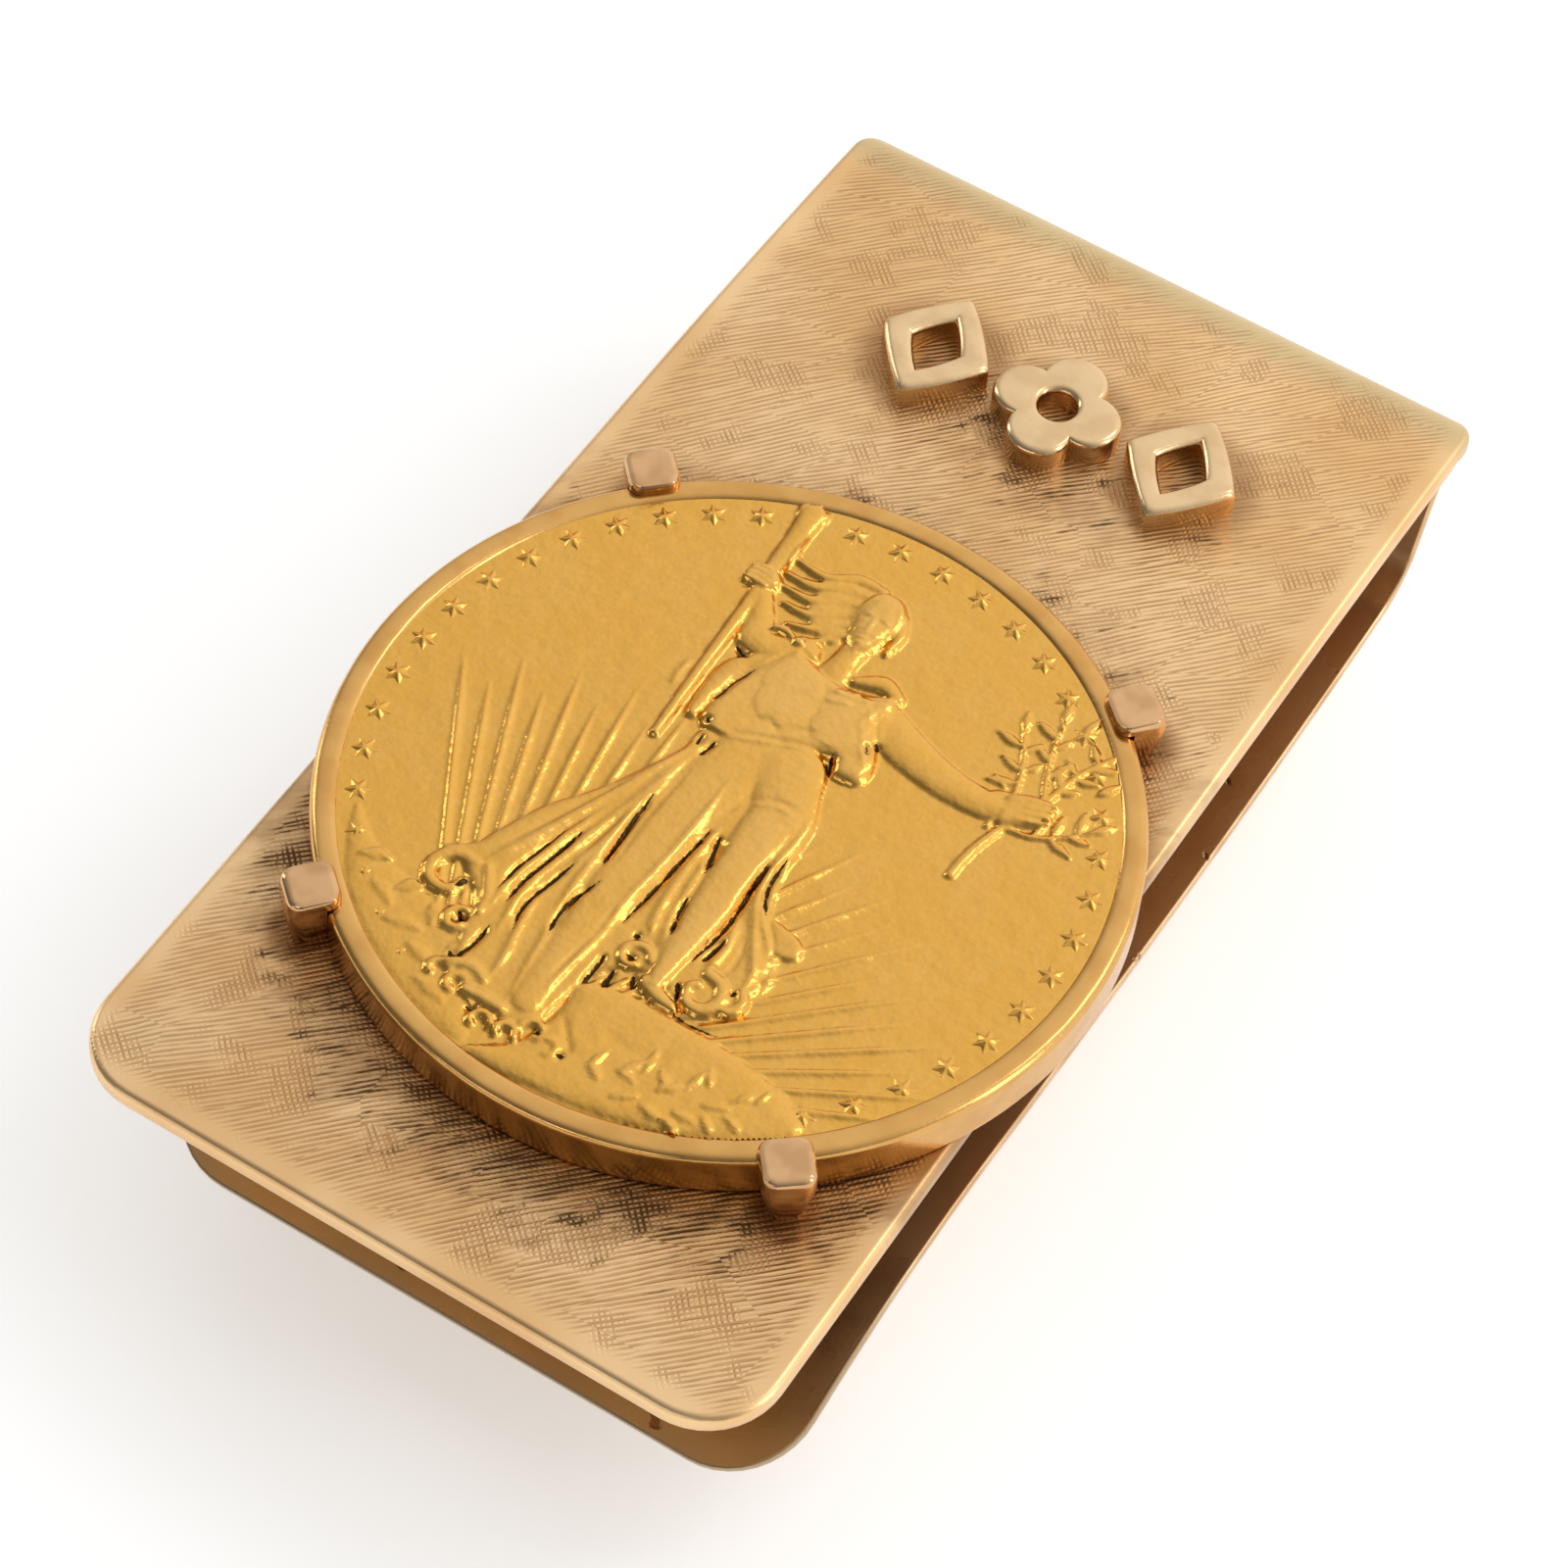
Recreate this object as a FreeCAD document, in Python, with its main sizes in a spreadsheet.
import FreeCAD, Part
import os

import Sketcher

# Money clip: a flat front plate whose far end is turned down, a thin spring leaf hinged on
# a rolled bead under that end, a coin seated on the plate, four prongs pegged through the
# plate, and three applied ornaments.
#
# Row frame: +Y runs along the clip towards the bend, +Z is up through the plate, X = 0 is the
# coin's axis, Y = 0 is half way along the plate and Z = 0 is the lowest line of the leaf.
# Every piece is drawn with Z = 0 on the plate's top face and is lifted by its Placement.

DRIVING_SIZES = (
    ("plate_width", 31.8),
    ("plate_length", 62.0),
    ("plate_thickness", 1.0),
    ("plate_open_corner_radius", 3.4),
    ("plate_bend_corner_radius", 1.8),
    ("plate_arch_length", 18.0),
    ("plate_arch_drop", 0.65),
    ("bend_outer_radius", 1.7),
    ("bend_lip_depth", 2.6),
    ("leaf_thickness", 0.6),
    ("leaf_root_inset", 0.4),
    ("leaf_tip_inset", 1.0),
    ("leaf_tip_skew", 1.2),
    ("leaf_tip_setback", 2.6),
    ("leaf_tip_corner_radius", 3.8),
    ("leaf_root_setback", 2.6),
    ("leaf_root_bend_radius", 3.2),
    ("leaf_wall_lean", 19.0),
    ("leaf_belly_from_bend", 13.5),
    ("leaf_belly_depth", 8.3),
    ("leaf_pinch_from_open_end", 15.5),
    ("leaf_pinch_depth", 6.1),
    ("leaf_lip_depth", 8.4),
    ("bead_radius", 0.42),
    ("bead_drop", 0.12),
    ("bead_clearance", 0.05),
    ("coin_diameter", 34.1),
    ("coin_thickness", 2.41),
    ("coin_rim_width", 1.3),
    ("coin_rim_height", 0.16),
    ("coin_rim_bevel", 0.12),
    ("coin_offset", 0.5),
    ("coin_from_open_end", 23.76),
    ("prong_bend_left_angle", 133.6),
    ("prong_bend_right_angle", 49.1),
    ("prong_open_left_angle", 228.7),
    ("prong_open_right_angle", 309.6),
    ("prong_head_overlap", 0.75),
    ("prong_head_depth", 2.0),
    ("prong_head_width", 2.3),
    ("prong_head_height", 0.6),
    ("prong_head_round", 0.6),
    ("prong_crown_bevel", 0.25),
    ("prong_foot_gap", 0.4),
    ("prong_foot_depth", 1.3),
    ("prong_foot_width", 1.5),
    ("prong_foot_round", 0.4),
    ("prong_collar_radius", 1.0),
    ("prong_collar_height", 0.25),
    ("prong_peg_radius", 0.5),
    ("prong_peg_clearance", 0.02),
    ("ornament_from_bend", 11.4),
    ("ornament_offset", 0.4),
    ("ornament_pitch", 6.2),
    ("ornament_height", 1.2),
    ("ornament_bevel", 0.25),
    ("lozenge_width", 5.4),
    ("lozenge_length", 6.4),
    ("lozenge_bar", 1.3),
    ("quatrefoil_reach", 1.55),
    ("quatrefoil_lobe_radius", 1.5),
    ("quatrefoil_eye_radius", 0.85),
)

doc = FreeCAD.newDocument("money_clip")
sheet = doc.addObject("Spreadsheet::Sheet", "Sizes")
for row, (alias, value) in enumerate(DRIVING_SIZES, start=1):
    sheet.set(f"A{row}", alias)
    sheet.set(f"B{row}", str(value))
    sheet.setAlias(f"B{row}", alias)
doc.recompute()

# Sizes that follow from the driving ones, as expressions of the sheet's cells.
HALF_LENGTH = "Sizes.plate_length / 2"
ARCH_START = f"({HALF_LENGTH} - Sizes.plate_arch_length)"
ARCH_RADIUS = "((Sizes.plate_arch_length ^ 2 + Sizes.plate_arch_drop ^ 2) / (2 * Sizes.plate_arch_drop))"
LIFT = "max(Sizes.leaf_belly_depth; Sizes.leaf_lip_depth)"
COIN_RADIUS = "(Sizes.coin_diameter / 2)"
COIN_Y = f"(Sizes.coin_from_open_end - {HALF_LENGTH})"
FOOT_INNER = f"({COIN_RADIUS} + Sizes.prong_foot_gap)"
FOOT_RADIUS = f"({FOOT_INNER} + Sizes.prong_foot_depth / 2)"
ROOT_Y = f"({HALF_LENGTH} - Sizes.leaf_root_setback)"
ROOT_SAG = f"({ARCH_RADIUS} - sqrt({ARCH_RADIUS} ^ 2 - ({ROOT_Y} - {ARCH_START}) ^ 2))"
ROOT_Z = f"(0 - Sizes.plate_thickness - {ROOT_SAG} - Sizes.bead_drop)"
ROOT_WIDTH = "(Sizes.plate_width - 2 * Sizes.leaf_root_inset)"
TIP_WIDTH = "(Sizes.plate_width - 2 * Sizes.leaf_tip_inset)"
BELLY_Y = f"({HALF_LENGTH} - Sizes.leaf_belly_from_bend)"
PINCH_Y = f"(Sizes.leaf_pinch_from_open_end - {HALF_LENGTH})"
TIP_Y = f"(Sizes.leaf_tip_setback - {HALF_LENGTH})"
ORNAMENT_Y = f"({HALF_LENGTH} - Sizes.ornament_from_bend)"
# The ornaments' blanks start this far under the plate's top face, and the plate is cut away.
SUNK = "(Sizes.plate_thickness / 2)"

START, END, CENTRE = 1, 2, 3
ORIGIN = (-1, START)


def value(expression):
    """Return the number that an expression of the sheet's cells gives."""
    return float(sheet.evalExpression(expression))


def new_body(name):
    """Add an empty body whose Label names its file."""
    body = doc.addObject("PartDesign::Body", name)
    body.Label = name
    return body


def place(body, along_x, along_y, turn=None):
    """Bind a body's Placement: X, Y and the lift, and its turn about Z in degrees."""
    body.setExpression("Placement.Base.x", along_x)
    body.setExpression("Placement.Base.y", along_y)
    body.setExpression("Placement.Base.z", LIFT)
    if turn is not None:
        body.Placement.Rotation = FreeCAD.Rotation(FreeCAD.Vector(0, 0, 1), value(turn))
        body.setExpression("Placement.Rotation.Angle", turn)


def new_sketch(body, name, role, height=None):
    """Add a sketch on one of the body's origin planes, moved along its normal by height."""
    sketch = body.newObject("Sketcher::SketchObject", name)
    plane = next(item for item in body.Origin.OriginFeatures if item.Role == role)
    sketch.AttachmentSupport = [(plane, "")]
    sketch.MapMode = "FlatFace"
    if height is not None:
        sketch.setExpression("AttachmentOffset.Base.z", height)
    return sketch


def vector(point):
    """Return a sketch point from a pair of expressions."""
    return FreeCAD.Vector(value(point[0]), value(point[1]), 0)


def bind(sketch, kind, places, expression):
    """Add a driving dimension whose value is an expression of the sheet."""
    index = sketch.addConstraint(Sketcher.Constraint(kind, *places, value(expression)))
    sketch.setExpression(f"Constraints[{index}]", expression)


def pin(sketch, geometry, end, point):
    """Hold one point of the sketch at a pair of expressions."""
    bind(sketch, "DistanceX", (*ORIGIN, geometry, end), point[0])
    bind(sketch, "DistanceY", (*ORIGIN, geometry, end), point[1])


def tie(sketch, kind, *places):
    """Add a geometric constraint."""
    sketch.addConstraint(Sketcher.Constraint(kind, *places))


def add_line(sketch, start, end):
    """Add a line between two vectors and return its index."""
    return sketch.addGeometry(Part.LineSegment(start, end), False)


def add_arc(sketch, centre, first, last):
    """Add the anticlockwise arc about centre from first to last and return its index."""
    across = FreeCAD.Vector(1, 0, 0)
    normal = FreeCAD.Vector(0, 0, 1)
    start_angle = across.getAngle(first - centre) * (1 if first.y >= centre.y else -1)
    end_angle = across.getAngle(last - centre) * (1 if last.y >= centre.y else -1)
    circle = Part.Circle(centre, normal, (first - centre).Length)
    return sketch.addGeometry(Part.ArcOfCircle(circle, start_angle, end_angle), False)


def add_circle(sketch, centre, radius):
    """Add a circle whose centre and radius are bound to expressions."""
    circle = Part.Circle(vector(centre), FreeCAD.Vector(0, 0, 1), value(radius))
    index = sketch.addGeometry(circle, False)
    pin(sketch, index, CENTRE, centre)
    bind(sketch, "Radius", (index,), radius)


def add_polygon(sketch, points):
    """Add a closed polygon through pairs of expressions, each corner held in place."""
    corners = [vector(point) for point in points]
    lines = [add_line(sketch, corner, corners[(number + 1) % len(corners)])
             for number, corner in enumerate(corners)]
    for number, line in enumerate(lines):
        tie(sketch, "Coincident", line, END, lines[(number + 1) % len(lines)], START)
        pin(sketch, line, START, points[number])


def add_rectangle(sketch, low, high):
    """Add a rectangle between two corners given as pairs of expressions."""
    add_polygon(sketch, (low, (high[0], low[1]), high, (low[0], high[1])))


def add_rounded_rectangle(sketch, low, high, radii):
    """Add a rectangle with rounded corners; radii go anticlockwise from the high corner."""
    corners = ((high[0], high[1], 1, 1), (low[0], high[1], -1, 1),
               (low[0], low[1], -1, -1), (high[0], low[1], 1, -1))
    arcs = []
    for (edge_x, edge_y, side, end), radius in zip(corners, radii):
        size = value(radius)
        place_x, place_y = f"{edge_x} - {side} * {radius}", f"{edge_y} - {end} * {radius}"
        centre = vector((place_x, place_y))
        on_side = centre + FreeCAD.Vector(side * size, 0, 0)
        on_end = centre + FreeCAD.Vector(0, end * size, 0)
        first, last = (on_side, on_end) if side * end > 0 else (on_end, on_side)
        arc = add_arc(sketch, centre, first, last)
        arcs.append((arc, first, last))
        bind(sketch, "Radius", (arc,), radius)
        pin(sketch, arc, CENTRE, (place_x, place_y))
    for number, (arc, _, last) in enumerate(arcs):
        following, first, _ = arcs[(number + 1) % len(arcs)]
        line = add_line(sketch, last, first)
        tie(sketch, "Tangent", arc, END, line, START)
        tie(sketch, "Tangent", line, END, following, START)


def add_extrusion(body, kind, sketch, length, midplane=False, reverse=False):
    """Add a Pad or a Pocket of the given length."""
    feature = body.newObject(f"PartDesign::{kind}", f"{sketch.Name}_{kind.lower()}")
    feature.Profile = sketch
    feature.Reversed = reverse
    if midplane:
        feature.SideType = "Symmetric"
    feature.setExpression("Length", length)
    doc.recompute()
    return feature


def cut(body, sketch, length, midplane=False, reverse=False):
    """Add a Pocket and make sure that it took material away."""
    before = body.Shape.Volume
    feature = add_extrusion(body, "Pocket", sketch, length, midplane, reverse)
    if body.Shape.Volume >= before - 1e-6:
        raise RuntimeError(f"{sketch.Name} cut nothing")
    return feature


def round_edges(body, base, radius, name, keep):
    """Fillet the edges of base whose shape passes the keep test."""
    names = [f"Edge{number}" for number, edge in enumerate(base.Shape.Edges, start=1) if keep(edge)]
    fillet = body.newObject("PartDesign::Fillet", name)
    fillet.Base = (base, names)
    fillet.setExpression("Radius", radius)
    doc.recompute()
    return fillet


def build_front_plate():
    """Draw the plate's side view, pad it, round its corners in plan and drill it."""
    body = new_body("front_plate")
    side = new_sketch(body, "plate_side", "YZ_Plane")
    half, arch_start, arch_radius = value(HALF_LENGTH), value(ARCH_START), value(ARCH_RADIUS)
    wall, bend = value("Sizes.plate_thickness"), value("Sizes.bend_outer_radius")
    lip = value("Sizes.bend_lip_depth")
    arch_centre = FreeCAD.Vector(arch_start, -arch_radius, 0)
    # The bend's arc touches the arch from inside and ends on the line Y = half the length.
    bend_run = half - bend - arch_start
    bend_rise = ((arch_radius - bend) ** 2 - bend_run ** 2) ** 0.5
    bend_centre = arch_centre + FreeCAD.Vector(bend_run, bend_rise, 0)
    spoke = (bend_centre - arch_centre).normalize()
    lines, arches, bends, lips = [], [], [], []
    for inset in (0.0, wall):
        joint = arch_centre + spoke * (arch_radius - inset)
        flat_end = FreeCAD.Vector(arch_start, -inset, 0)
        turned = FreeCAD.Vector(half - inset, bend_centre.y, 0)
        lines.append(add_line(side, FreeCAD.Vector(-half, -inset, 0), flat_end))
        arches.append(add_arc(side, arch_centre, joint, flat_end))
        bends.append(add_arc(side, bend_centre, turned, joint))
        lips.append(add_line(side, turned, FreeCAD.Vector(half - inset, -lip, 0)))
        tie(side, "Tangent", lines[-1], END, arches[-1], END)
        tie(side, "Tangent", arches[-1], START, bends[-1], END)
        tie(side, "Tangent", bends[-1], START, lips[-1], START)
        tie(side, "Horizontal", lines[-1])
        tie(side, "Vertical", lips[-1])
    open_end = add_line(side, FreeCAD.Vector(-half, 0, 0), FreeCAD.Vector(-half, -wall, 0))
    lip_end = add_line(side, FreeCAD.Vector(half, -lip, 0), FreeCAD.Vector(half - wall, -lip, 0))
    tie(side, "Coincident", open_end, START, lines[0], START)
    tie(side, "Coincident", open_end, END, lines[1], START)
    tie(side, "Coincident", lip_end, START, lips[0], END)
    tie(side, "Coincident", lip_end, END, lips[1], END)
    tie(side, "Vertical", open_end)
    tie(side, "Horizontal", lip_end)
    tie(side, "Coincident", arches[0], CENTRE, arches[1], CENTRE)
    tie(side, "Coincident", bends[0], CENTRE, bends[1], CENTRE)
    pin(side, lines[0], START, (f"0 - {HALF_LENGTH}", "0"))
    bind(side, "DistanceX", (*ORIGIN, lines[0], END), ARCH_START)
    bind(side, "DistanceX", (*ORIGIN, lips[0], END), HALF_LENGTH)
    bind(side, "DistanceY", (*ORIGIN, lips[0], END), "0 - Sizes.bend_lip_depth")
    bind(side, "Distance", (open_end,), "Sizes.plate_thickness")
    bind(side, "Radius", (arches[0],), ARCH_RADIUS)
    bind(side, "Radius", (bends[0],), "Sizes.bend_outer_radius")
    add_extrusion(body, "Pad", side, "Sizes.plate_width", midplane=True)

    outline = new_sketch(body, "plate_outline", "XY_Plane")
    frame_x, frame_y = "(1.5 * Sizes.plate_width)", "(1.5 * Sizes.plate_length)"
    add_rectangle(outline, (f"0 - {frame_x}", f"0 - {frame_y}"), (frame_x, frame_y))
    bend_corner, open_corner = "Sizes.plate_bend_corner_radius", "Sizes.plate_open_corner_radius"
    add_rounded_rectangle(outline, ("(0 - Sizes.plate_width / 2)", f"(0 - {HALF_LENGTH})"),
                          ("Sizes.plate_width / 2", HALF_LENGTH),
                          (bend_corner, bend_corner, open_corner, open_corner))
    cut(body, outline, "2 * Sizes.plate_length", midplane=True)

    seat = new_sketch(body, "bead_seat", "YZ_Plane")
    add_circle(seat, (ROOT_Y, ROOT_Z), "Sizes.bead_radius + Sizes.bead_clearance")
    cut(body, seat, "2 * Sizes.plate_width", midplane=True)

    holes = new_sketch(body, "peg_holes", "XY_Plane")
    for _, angle in PRONGS:
        centre = (f"Sizes.coin_offset + {FOOT_RADIUS} * cos({angle})",
                  f"{COIN_Y} + {FOOT_RADIUS} * sin({angle})")
        add_circle(holes, centre, "Sizes.prong_peg_radius + Sizes.prong_peg_clearance")
    cut(body, holes, "3 * Sizes.plate_thickness", midplane=True)
    place(body, "0 - Sizes.coin_offset", "0")
    return body


def build_spring_leaf():
    """Draw the leaf's side view between its bead and its tip, pad it and trim it in plan."""
    body = new_body("spring_leaf")
    side = new_sketch(body, "leaf_side", "YZ_Plane")
    wall = value("Sizes.leaf_thickness")
    lean = FreeCAD.Rotation(FreeCAD.Vector(0, 0, 1), -value("Sizes.leaf_wall_lean"))
    outward = lean.multVec(FreeCAD.Vector(1, 0, 0))
    downward = lean.multVec(FreeCAD.Vector(0, -1, 0))
    root = FreeCAD.Vector(value(ROOT_Y), value(ROOT_Z), 0)
    pinch_y, belly_y, tip_y = value(PINCH_Y), value(BELLY_Y), value(TIP_Y)
    pinch, belly, lip = (value(f"Sizes.leaf_{name}_depth") for name in ("pinch", "belly", "lip"))
    pinch_radius = ((tip_y - pinch_y) ** 2 + (lip - pinch) ** 2) / (2 * (lip - pinch))
    reach, rise = belly_y - pinch_y, belly - pinch
    belly_radius = (reach ** 2 + rise ** 2) / (2 * rise) - pinch_radius
    root_radius = value("Sizes.leaf_root_bend_radius")
    pinch_centre = FreeCAD.Vector(pinch_y, -pinch - pinch_radius, 0)
    belly_centre = FreeCAD.Vector(belly_y, belly_radius - belly, 0)
    # The root arc's centre is root_radius inside the wall's outer line and
    # belly_radius - root_radius from the belly arc's centre.
    line_start = root + outward * (wall / 2 - root_radius)
    gap = line_start - belly_centre
    half_b = gap.dot(downward)
    reach_down = -half_b + (half_b ** 2 - gap.dot(gap) + (belly_radius - root_radius) ** 2) ** 0.5
    root_centre = line_start + downward * reach_down
    tip = FreeCAD.Vector(tip_y, -lip, 0)
    tip_spoke = (tip - pinch_centre).normalize()
    pinch_spoke = (belly_centre - pinch_centre).normalize()
    belly_spoke = (root_centre - belly_centre).normalize()
    walls, roots, bellies, pinches = [], [], [], []
    for inset in (0.0, wall):
        top = root + outward * (wall / 2 - inset)
        joint_root = root_centre + outward * (root_radius - inset)
        joint_belly = belly_centre + belly_spoke * (belly_radius - inset)
        joint_pinch = pinch_centre + pinch_spoke * (pinch_radius + inset)
        at_tip = pinch_centre + tip_spoke * (pinch_radius + inset)
        walls.append(add_line(side, top, joint_root))
        roots.append(add_arc(side, root_centre, joint_belly, joint_root))
        bellies.append(add_arc(side, belly_centre, joint_pinch, joint_belly))
        pinches.append(add_arc(side, pinch_centre, joint_pinch, at_tip))
        tie(side, "Tangent", walls[-1], END, roots[-1], END)
        tie(side, "Tangent", roots[-1], START, bellies[-1], END)
        tie(side, "Tangent", bellies[-1], START, pinches[-1], START)
    root_cap = add_line(side, root + outward * (wall / 2), root - outward * (wall / 2))
    tip_cap = add_line(side, tip, tip + tip_spoke * wall)
    tie(side, "Coincident", root_cap, START, walls[0], START)
    tie(side, "Coincident", root_cap, END, walls[1], START)
    tie(side, "Coincident", tip_cap, START, pinches[0], END)
    tie(side, "Coincident", tip_cap, END, pinches[1], END)
    for outer, inner in (roots, bellies, pinches):
        tie(side, "Coincident", outer, CENTRE, inner, CENTRE)
    tie(side, "Perpendicular", root_cap, walls[0])
    tie(side, "Parallel", *walls)
    tie(side, "PointOnObject", pinches[0], CENTRE, tip_cap)
    cosine, sine = "cos(Sizes.leaf_wall_lean)", "sin(Sizes.leaf_wall_lean)"
    pin(side, root_cap, START, (f"{ROOT_Y} + Sizes.leaf_thickness / 2 * {cosine}",
                                f"{ROOT_Z} - Sizes.leaf_thickness / 2 * {sine}"))
    pin(side, root_cap, END, (f"{ROOT_Y} - Sizes.leaf_thickness / 2 * {cosine}",
                              f"{ROOT_Z} + Sizes.leaf_thickness / 2 * {sine}"))
    bind(side, "Radius", (roots[0],), "Sizes.leaf_root_bend_radius")
    pin(side, pinches[0], END, (TIP_Y, "0 - Sizes.leaf_lip_depth"))
    add_crest(side, bellies[0], (BELLY_Y, "0 - Sizes.leaf_belly_depth"), belly_centre)
    add_crest(side, pinches[0], (PINCH_Y, "0 - Sizes.leaf_pinch_depth"), pinch_centre)
    blank_width = "(2 * Sizes.plate_width)"
    add_extrusion(body, "Pad", side, blank_width, midplane=True)

    bead = new_sketch(body, "leaf_bead", "YZ_Plane")
    add_circle(bead, (ROOT_Y, ROOT_Z), "Sizes.bead_radius")
    add_extrusion(body, "Pad", bead, blank_width, midplane=True)

    back, front = f"({HALF_LENGTH} + Sizes.plate_width)", f"(0 - {HALF_LENGTH} - Sizes.plate_width)"
    trim = new_sketch(body, "leaf_trim", "XY_Plane")
    # Each side is a straight line from the root's corner through the tip's, run on past both.
    run = f"(Sizes.plate_width / ({ROOT_Y} - {TIP_Y}))"
    for sign in (1, -1):
        root_x = f"{sign} * {ROOT_WIDTH} / 2"
        tip_x = f"(Sizes.leaf_tip_skew + {sign} * {TIP_WIDTH} / 2)"
        past_root = (f"{root_x} + ({root_x} - {tip_x}) * {run}", f"{ROOT_Y} + Sizes.plate_width")
        past_tip = (f"{tip_x} + ({tip_x} - {root_x}) * {run}", f"{TIP_Y} - Sizes.plate_width")
        outside = f"{sign} * {blank_width}"
        add_polygon(trim, (past_root, past_tip, (outside, past_tip[1]), (outside, past_root[1])))
    trimmed = cut(body, trim, "4 * Sizes.plate_width", midplane=True)
    tip_low = value(TIP_Y) + 2 * wall

    def is_tip_corner(edge):
        middle = edge.BoundBox.Center
        return edge.BoundBox.XLength < wall / 2 and middle.y < tip_low and edge.Length < 2 * wall

    round_edges(body, trimmed, "Sizes.leaf_tip_corner_radius", "leaf_tip_corners", is_tip_corner)
    place(body, "0 - Sizes.coin_offset", "0")
    return body


def add_crest(sketch, arc, crest, centre):
    """Hold an arc's highest or lowest point at crest with a construction line from its centre."""
    line = add_line(sketch, centre, vector(crest))
    sketch.setConstruction(line, True)
    tie(sketch, "Coincident", line, START, arc, CENTRE)
    tie(sketch, "Vertical", line)
    tie(sketch, "PointOnObject", line, END, arc)
    pin(sketch, line, END, crest)


def build_coin():
    """Revolve the coin's half section, with a raised bevelled rim round both faces."""
    body = new_body("coin")
    section = new_sketch(body, "coin_section", "XZ_Plane")
    edge, field = COIN_RADIUS, f"({COIN_RADIUS} - Sizes.coin_rim_width)"
    bevel, rise, top = "Sizes.coin_rim_bevel", "Sizes.coin_rim_height", "Sizes.coin_thickness"
    add_polygon(section, (
        ("0", rise), (f"{field} - {rise}", rise), (field, "0"), (f"{edge} - {bevel}", "0"),
        (edge, bevel), (edge, f"{top} - {bevel}"), (f"{edge} - {bevel}", top), (field, top),
        (f"{field} - {rise}", f"{top} - {rise}"), ("0", f"{top} - {rise}")))
    turned = body.newObject("PartDesign::Revolution", "coin_blank")
    turned.Profile = section
    turned.ReferenceAxis = (section, ["V_Axis"])
    turned.Angle = 360
    doc.recompute()
    place(body, "0", COIN_Y)
    return body


def build_prong(name, angle):
    """Loft one prong from its foot to its head, cut it to the coin and add its collar and peg."""
    body = new_body(name)
    head_inner = f"({COIN_RADIUS} - Sizes.prong_head_overlap)"
    head_top = "(Sizes.coin_thickness + Sizes.prong_head_height)"
    crown = "Sizes.prong_crown_bevel"
    sections = []
    for level, height, inner, depth, width, radius in (
            ("foot", None, FOOT_INNER, "Sizes.prong_foot_depth", "Sizes.prong_foot_width",
             "Sizes.prong_foot_round"),
            ("head", f"{head_top} - {crown}", head_inner, "Sizes.prong_head_depth",
             "Sizes.prong_head_width", "Sizes.prong_head_round"),
            ("crown", head_top, f"({head_inner} + {crown})", f"(Sizes.prong_head_depth - 2 * {crown})",
             f"(Sizes.prong_head_width - 2 * {crown})", f"(Sizes.prong_head_round - {crown} / 2)")):
        section = new_sketch(body, f"{name}_{level}", "XY_Plane", height)
        add_rounded_rectangle(section, (inner, f"(0 - {width} / 2)"), (f"{inner} + {depth}", f"{width} / 2"),
                              (radius,) * 4)
        sections.append(section)
    loft = body.newObject("PartDesign::AdditiveLoft", f"{name}_shank")
    loft.Profile = sections[0]
    loft.Sections = sections[1:]
    loft.Ruled = True
    doc.recompute()
    bed = new_sketch(body, f"{name}_bed", "XY_Plane")
    add_circle(bed, ("0", "0"), COIN_RADIUS)
    cut(body, bed, "Sizes.coin_thickness", reverse=True)
    collar = new_sketch(body, f"{name}_collar", "XY_Plane")
    add_circle(collar, (FOOT_RADIUS, "0"), "Sizes.prong_collar_radius")
    add_extrusion(body, "Pad", collar, "Sizes.prong_collar_height")
    peg = new_sketch(body, f"{name}_peg", "XY_Plane")
    add_circle(peg, (FOOT_RADIUS, "0"), "Sizes.prong_peg_radius")
    add_extrusion(body, "Pad", peg, "Sizes.plate_thickness", reverse=True)
    place(body, "0", COIN_Y, angle)
    return body


def seat_ornament(blank, name, plate):
    """Cut an ornament's underside to the plate's top face."""
    seated = doc.addObject("Part::Cut", f"{name}_seated")
    seated.Label = name
    seated.Base = blank
    seated.Tool = plate
    doc.recompute()
    return seated


def place_blank(blank, number):
    """Put an ornament's blank at its place in the row, counted from the middle one."""
    place(blank, f"Sizes.ornament_offset - Sizes.coin_offset + {number} * Sizes.ornament_pitch", ORNAMENT_Y)


def build_lozenge(name, number, plate):
    """Pad a pierced lozenge with bars of even width and soften its top edges."""
    body = new_body(f"{name}_blank")
    outline = new_sketch(body, f"{name}_outline", "XY_Plane", f"0 - {SUNK}")
    across, along = "(Sizes.lozenge_width / 2)", "(Sizes.lozenge_length / 2)"
    # Moving each side inwards by the bar's width draws the corners in by the same share.
    share = f"(1 - Sizes.lozenge_bar * sqrt({across} ^ 2 + {along} ^ 2) / ({across} * {along}))"
    for scale in ("1", share):
        wide, tall = f"{across} * {scale}", f"{along} * {scale}"
        add_polygon(outline, ((wide, "0"), ("0", tall), (f"0 - {wide}", "0"), ("0", f"0 - {tall}")))
    padded = add_extrusion(body, "Pad", outline, f"Sizes.ornament_height + {SUNK}")
    top = value("Sizes.ornament_height")
    round_edges(body, padded, "Sizes.ornament_bevel", f"{name}_edges",
                lambda edge: edge.BoundBox.ZMin > top - 1e-3)
    place_blank(body, number)
    return seat_ornament(body, name, plate)


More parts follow.
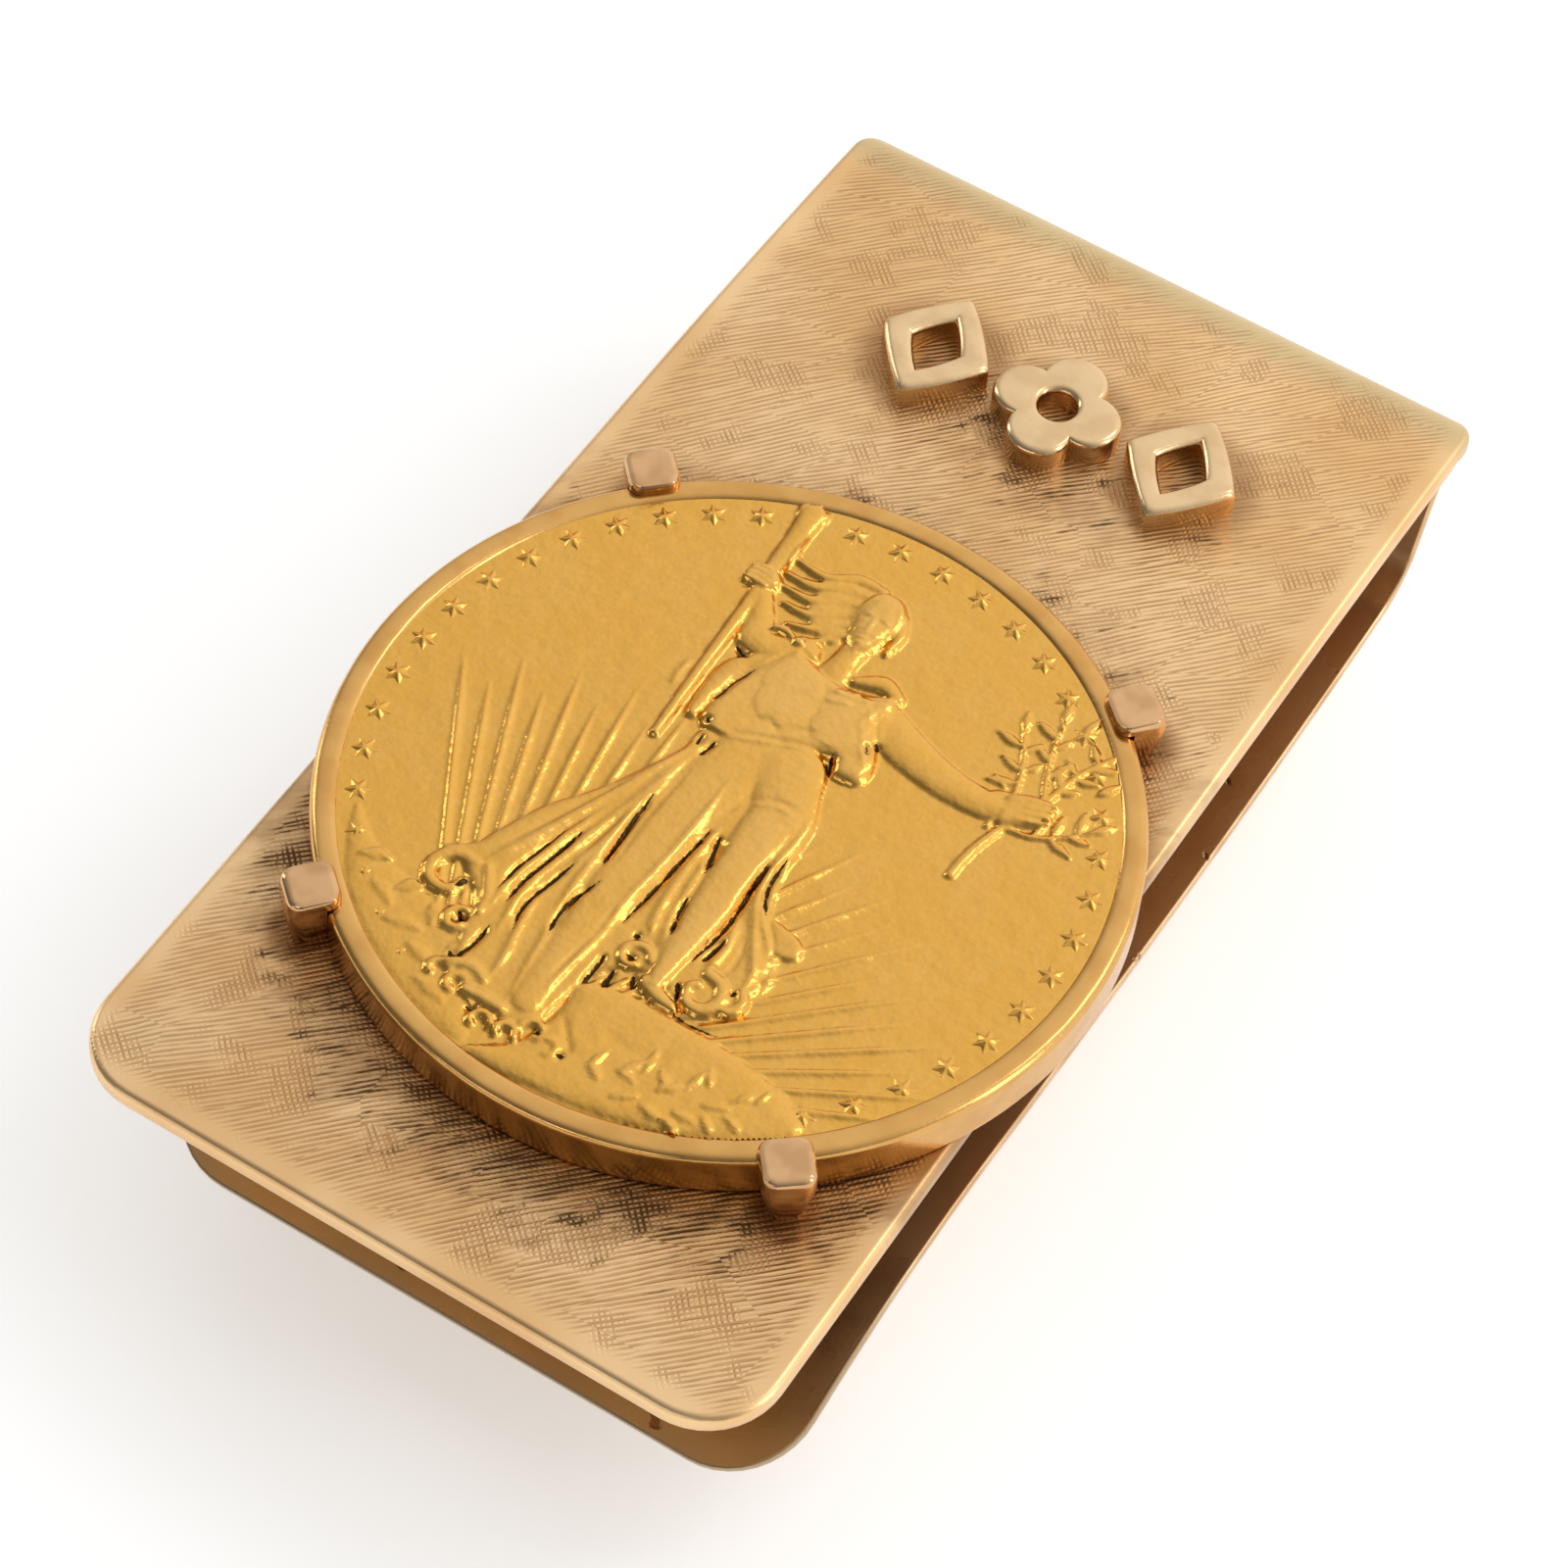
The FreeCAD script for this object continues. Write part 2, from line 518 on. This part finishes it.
def build_quatrefoil(name, number, plate):
    """Revolve one bevelled lobe, turn it into four and pierce the middle."""
    body = new_body(f"{name}_blank")
    section = new_sketch(body, f"{name}_section", "XZ_Plane")
    top, bevel, reach = "Sizes.ornament_height", "Sizes.ornament_bevel", "Sizes.quatrefoil_reach"
    rim = f"({reach} + Sizes.quatrefoil_lobe_radius)"
    add_polygon(section, ((reach, top), (reach, f"0 - {SUNK}"), (rim, f"0 - {SUNK}"),
                          (rim, f"{top} - {bevel}"), (f"{rim} - {bevel}", top)))
    lobe = body.newObject("PartDesign::Revolution", f"{name}_lobe")
    lobe.Profile = section
    lobe.ReferenceAxis = (section, ["Edge1"])
    lobe.Angle = 360
    doc.recompute()
    ring = body.newObject("PartDesign::PolarPattern", f"{name}_lobes")
    ring.Originals = [lobe]
    ring.Axis = (next(item for item in body.Origin.OriginFeatures if item.Role == "Z_Axis"), [""])
    ring.Angle = 360
    ring.Occurrences = 4
    body.Tip = ring
    doc.recompute()
    eye = new_sketch(body, f"{name}_eye", "XY_Plane")
    add_circle(eye, ("0", "0"), "Sizes.quatrefoil_eye_radius")
    cut(body, eye, "4 * Sizes.ornament_height", midplane=True)
    place_blank(body, number)
    return seat_ornament(body, name, plate)


def check_document():
    """Stop if any object of the document failed to build."""
    for item in doc.Objects:
        if "Invalid" in item.State or "Error" in item.State:
            raise RuntimeError(f"{item.Name} failed: {item.State}")


def export(pieces):
    """Write each piece's solid to its own STEP file."""
    os.makedirs("parts", exist_ok=True)
    for piece in pieces:
        shape = piece.Shape
        if shape.isNull() or not shape.isValid() or len(shape.Solids) != 1:
            raise RuntimeError(f"{piece.Label} is not one valid solid")
        shape.exportStep(f"parts/{piece.Label}.step")
        print(f"{piece.Label}: {shape.Volume:.3f} mm3")


PRONGS = (
    ("prong_bend_left", "Sizes.prong_bend_left_angle"),
    ("prong_bend_right", "Sizes.prong_bend_right_angle"),
    ("prong_open_left", "Sizes.prong_open_left_angle"),
    ("prong_open_right", "Sizes.prong_open_right_angle"),
)

front_plate = build_front_plate()
pieces = [front_plate, build_spring_leaf(), build_coin()]
pieces += [build_prong(name, angle) for name, angle in PRONGS]
pieces += [build_lozenge("left_lozenge", -1, front_plate),
           build_quatrefoil("middle_quatrefoil", 0, front_plate),
           build_lozenge("right_lozenge", 1, front_plate)]
doc.recompute()
check_document()
export(pieces)
